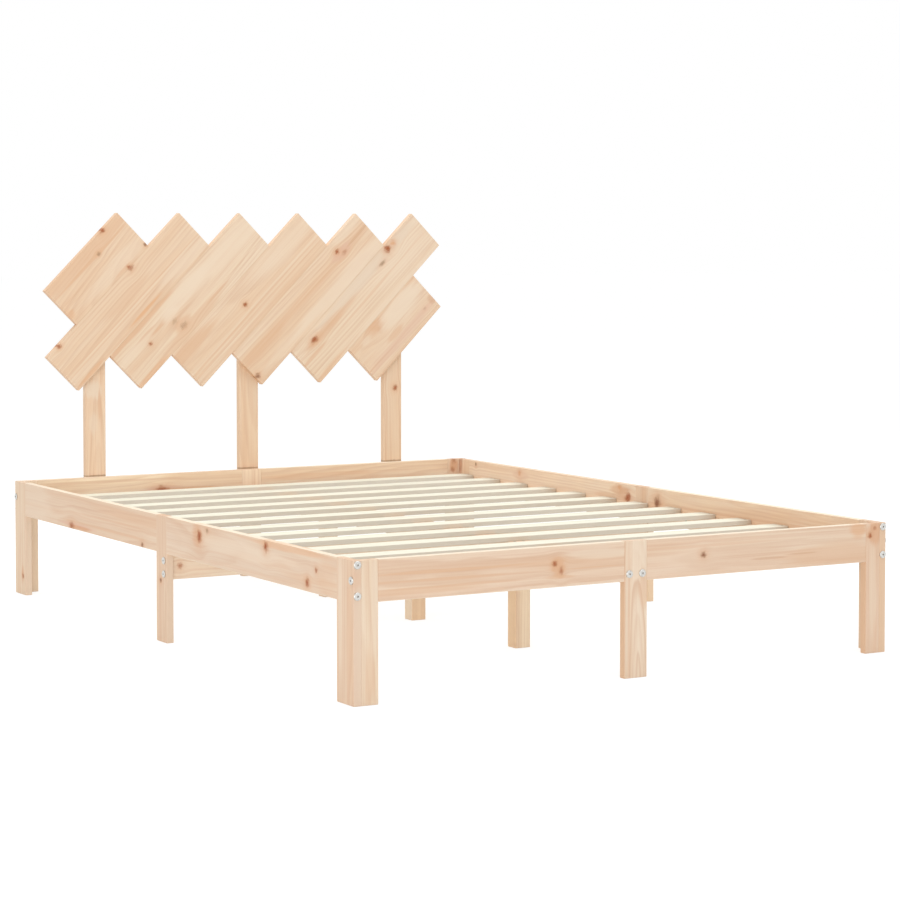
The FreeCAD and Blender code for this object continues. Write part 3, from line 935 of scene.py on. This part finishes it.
def paint_streaks(tree, node, number, half, point, color):
    for index, (along, across, length, width, ink, depth) in enumerate(streak_shares.get(node, [])):
        reach = (2 * length * half.x, 2 * width * half.y, streak_depth)
        streak = use_group(tree, streak_group, Point=point, Centre=board_place(half, along, across),
                           Reach=reach, Seed=number + streak_seed_step * index)
        color = tree.blend(tree.times(streak["Mask"], depth), color, ink)
    return color


def finish_wood(shader, tree, color, wood, bump):
    tree.feed(shader.inputs["Base Color"], color)
    tree.feed(shader.inputs["Roughness"], wood["Roughness"])
    shader.inputs["Specular IOR Level"].default_value = wood_specular
    tree.bump(shader, wood["Height"], bump)


def pine_board(node, number):
    """The material of one board, with its own grain, streaks and knots."""
    axes = local_axes(node)
    half = half_sizes(node, axes)
    material, tree, shader = new_material(node + "_wood")
    point = board_point(tree, node, axes)
    knots, push = place_knots(tree, node, number, half, point)
    flow = tree.vector("ADD", point, tree.join(0.0, push, 0.0))
    base, ring_share, edge = board_tones(node)
    patches = base if ring_share <= plain_ring_share else pale
    pith = pith_place(pith_shares.get(node, any_pith(number)))
    wood = use_group(tree, pine_group, Point=point, Flow=flow, Half=half, Seed=number * pine_seed_step,
                     Pith=pith, Base=base, Pale=patches, Warm=tan, Late=late_wood, Edge=edge,
                     Rings=ring_share)
    color = paint_streaks(tree, node, number, half, point, wood["Color"])
    color = paint_knots(tree, knots, color)
    finish_wood(shader, tree, color, wood, board_bump)
    return material


def slat_board(node, number):
    """The material of one slat: nearly white on its face, with painted shade that greys its edges and its
    ends.
    """
    axes = local_axes(node)
    half = half_sizes(node, axes)
    material, tree, shader = new_material(node + "_wood")
    point = board_point(tree, node, axes)
    pith = pith_place(any_pith(number))
    wood = use_group(tree, pine_group, Point=point, Flow=point, Half=half, Seed=number * slat_seed_step,
                     Pith=pith, Base=slat_cream, Pale=slat_cream, Warm=slat_grain, Late=slat_grain,
                     Edge=shaded_slat_edge, Rings=slat_ring_share)
    parts = tree.split(point)
    # Painted shade: grey along the narrow edges and towards the ends by the rails
    from_edge = tree.math("SUBTRACT", half.y, tree.math("ABSOLUTE", parts["Y"]))
    color = tree.blend(tree.ease(from_edge, 0.0, shaded_edge_width, 1.0, 0.0), wood["Color"], shaded_slat_edge)
    from_end = tree.math("SUBTRACT", half.x, tree.math("ABSOLUTE", parts["X"]))
    color = tree.blend(tree.ease(from_end, 0.0, slat_end_length, slat_end_share, 0.0), color, slat_shade)
    finish_wood(shader, tree, color, wood, slat_bump)
    return material


def plated_steel(name, color, roughness):
    """Zinc plating: a dull metal with faint clouds, fine scratches and painted shade in its corners and
    hollows.
    """
    material, tree, shader = new_material(name)
    place = tree.add("ShaderNodeTexCoord").outputs["Object"]
    cloud = tree.grain(place, (0.0, 0.0, 0.0), cloud_size, cloud_size, detail=fine_detail)
    grit = tree.grain(place, (0.0, 0.0, 0.0), grit_size, grit_size)
    darker = tuple(part * cloud_dark_share for part in color[:3]) + (1.0,)
    shade = tree.blend(tree.ease(cloud, cloud_start_share, cloud_full_share), color, darker)
    # Painted shade: darker where other surfaces are close by
    openness = tree.add("ShaderNodeAmbientOcclusion")
    openness.inputs["Distance"].default_value = crevice_shade_reach
    unshaded = tree.ease(openness.outputs["AO"], crevice_shade_share, unshaded_share)
    tree.feed(shader.inputs["Base Color"], tree.blend(unshaded, crevice_shade, shade))
    rough = tree.math("MULTIPLY_ADD", grit, grit_roughness, roughness - grit_roughness / 2)
    tree.feed(shader.inputs["Roughness"], rough)
    shader.inputs["Metallic"].default_value = 1.0
    tree.bump(shader, grit, metal_bump)
    return material


def beech():
    """Pale brown wood with short flecks, for the dowels."""
    material, tree, shader = new_material("dowel_wood")
    place = tree.add("ShaderNodeTexCoord").outputs["Object"]
    fleck = tree.grain(place, (0.0, 0.0, 0.0), cloud_size, grit_size, detail=fine_detail)
    color = tree.blend(tree.ease(fleck, cloud_start_share, cloud_full_share), beech_pale, beech_fleck)
    rough = tree.math("MULTIPLY_ADD", fleck, fleck_roughness, dowel_roughness)
    tree.feed(shader.inputs["Base Color"], color)
    tree.feed(shader.inputs["Roughness"], rough)
    return material


def fastener_materials():
    """A material for each node of fasteners."""
    return {
        "frame_bolts": plated_steel("bright_bolts", bolt_zinc, bolt_roughness),
        "beam_bolts": plated_steel("bright_beam_bolts", bolt_zinc, bolt_roughness),
        "insert_nuts": plated_steel("dull_shaded_nuts", shaded_nut_zinc, nut_roughness),
        "frame_screws": plated_steel("dull_frame_screws", screw_zinc, screw_roughness),
        "slat_screws": plated_steel("dull_slat_screws", screw_zinc, screw_roughness),
        "headboard_screws": plated_steel("dull_headboard_screws", screw_zinc, screw_roughness),
        "wood_dowels": beech(),
    }


def dress(node, material):
    """Gives a node its material in every slot."""
    mesh = bpy.data.objects[node].data
    if not mesh.materials:
        mesh.materials.append(material)
    for index in range(len(mesh.materials)):
        mesh.materials[index] = material


def dress_all():
    fasteners = fastener_materials()
    for number, node in enumerate(sorted(frame["nodes"])):
        if node in fasteners:
            dress(node, fasteners[node])
        elif node.startswith("slat_"):
            dress(node, slat_board(node, number))
        else:
            dress(node, pine_board(node, number))


def direct_ray(tree):
    """One for what the camera sees, straight or in metal and glass."""
    path = tree.add("ShaderNodeLightPath").outputs
    either = tree.math("MAXIMUM", path["Is Camera Ray"], path["Is Glossy Ray"])
    return tree.math("MAXIMUM", either, path["Is Transmission Ray"])


def floor_paint():
    """Pale to the light, and white with soft shadows to the camera."""
    material = bpy.data.materials.new("floor_paint")
    material.use_nodes = True
    material.node_tree.nodes.clear()
    tree = Tree(material.node_tree)
    plain = tree.add("ShaderNodeBsdfDiffuse")
    plain.inputs["Color"].default_value = (floor_grey, floor_grey, floor_grey, 1.0)
    seen = tree.add("ShaderNodeBsdfDiffuse")
    seen.inputs["Color"].default_value = (seen_floor_grey, seen_floor_grey, seen_floor_grey, 1.0)
    glow = tree.add("ShaderNodeEmission")
    glow.inputs["Strength"].default_value = seen_floor_glow
    both = tree.add("ShaderNodeAddShader")
    tree.feed(both.inputs[0], seen.outputs[0])
    tree.feed(both.inputs[1], glow.outputs[0])
    choose = tree.add("ShaderNodeMixShader")
    tree.feed(choose.inputs[0], direct_ray(tree))
    tree.feed(choose.inputs[1], plain.outputs[0])
    tree.feed(choose.inputs[2], both.outputs[0])
    tree.feed(tree.add("ShaderNodeOutputMaterial").inputs["Surface"], choose.outputs[0])
    return material


def make_floor():
    """A wide floor that takes the bed's shadow."""
    half = floor_span / 2
    corners = [(x * half, y * half, -floor_drop) for x, y in ((-1, -1), (1, -1), (1, 1), (-1, 1))]
    mesh = bpy.data.meshes.new("floor")
    mesh.from_pydata(corners, [], [(0, 1, 2, 3)])
    mesh.materials.append(floor_paint())
    floor = bpy.data.objects.new("floor", mesh)
    bpy.context.scene.collection.objects.link(floor)


def make_world():
    """An even pale sky for light, and plain white behind the bed."""
    world = bpy.data.worlds.new("studio")
    world.use_nodes = True
    bpy.context.scene.world = world
    tree = Tree(world.node_tree)
    background = world.node_tree.nodes["Background"]
    background.inputs["Color"].default_value = (1.0, 1.0, 1.0, 1.0)
    level = tree.ease(direct_ray(tree), 0.0, 1.0, sky_level, 1.0)
    tree.feed(background.inputs["Strength"], level)


def make_lamp(name, place, target, width, height, watts):
    lamp = bpy.data.lights.new(name, "AREA")
    lamp.shape = "RECTANGLE"
    lamp.size = width
    lamp.size_y = height
    lamp.energy = watts
    shown = bpy.data.objects.new(name, lamp)
    shown.location = place
    shown.rotation_euler = (place - target).to_track_quat("Z", "Y").to_euler()
    bpy.context.scene.collection.objects.link(shown)


def make_lamps():
    """A wide soft lamp overhead, one in front, and a low one that lights the feet."""
    middle = (Vector(cad_box[0]) + Vector(cad_box[1])) / 2
    overhead = middle + Vector((0, 0, ceiling_height))
    level_target = Vector((middle.x, middle.y, low_place.z))
    make_lamp("ceiling", overhead, middle, ceiling_size, ceiling_size, ceiling_watts)
    make_lamp("front", front_place, middle, front_size, front_size, front_watts)
    make_lamp("low", low_place, level_target, low_width, low_height, low_watts)


def make_camera():
    """A camera looks straight down until it is turned, so its pitch counts from a quarter turn."""
    quarter = math.pi / 2
    camera = bpy.data.cameras.new("camera")
    camera.sensor_width = camera_sensor
    camera.lens = camera_lens
    camera.shift_y = -camera_drop_share
    shown = bpy.data.objects.new("camera", camera)
    shown.location = camera_place
    shown.rotation_euler = (quarter - math.radians(camera_pitch), 0, -math.radians(camera_yaw))
    bpy.context.scene.collection.objects.link(shown)
    bpy.context.scene.camera = shown


knot_group = make_knot_group()
streak_group = make_streak_group()
pine_group = make_pine_group()
make_camera()
dress_all()
make_floor()
make_world()
make_lamps()
bpy.context.scene.view_settings.view_transform = "Standard"
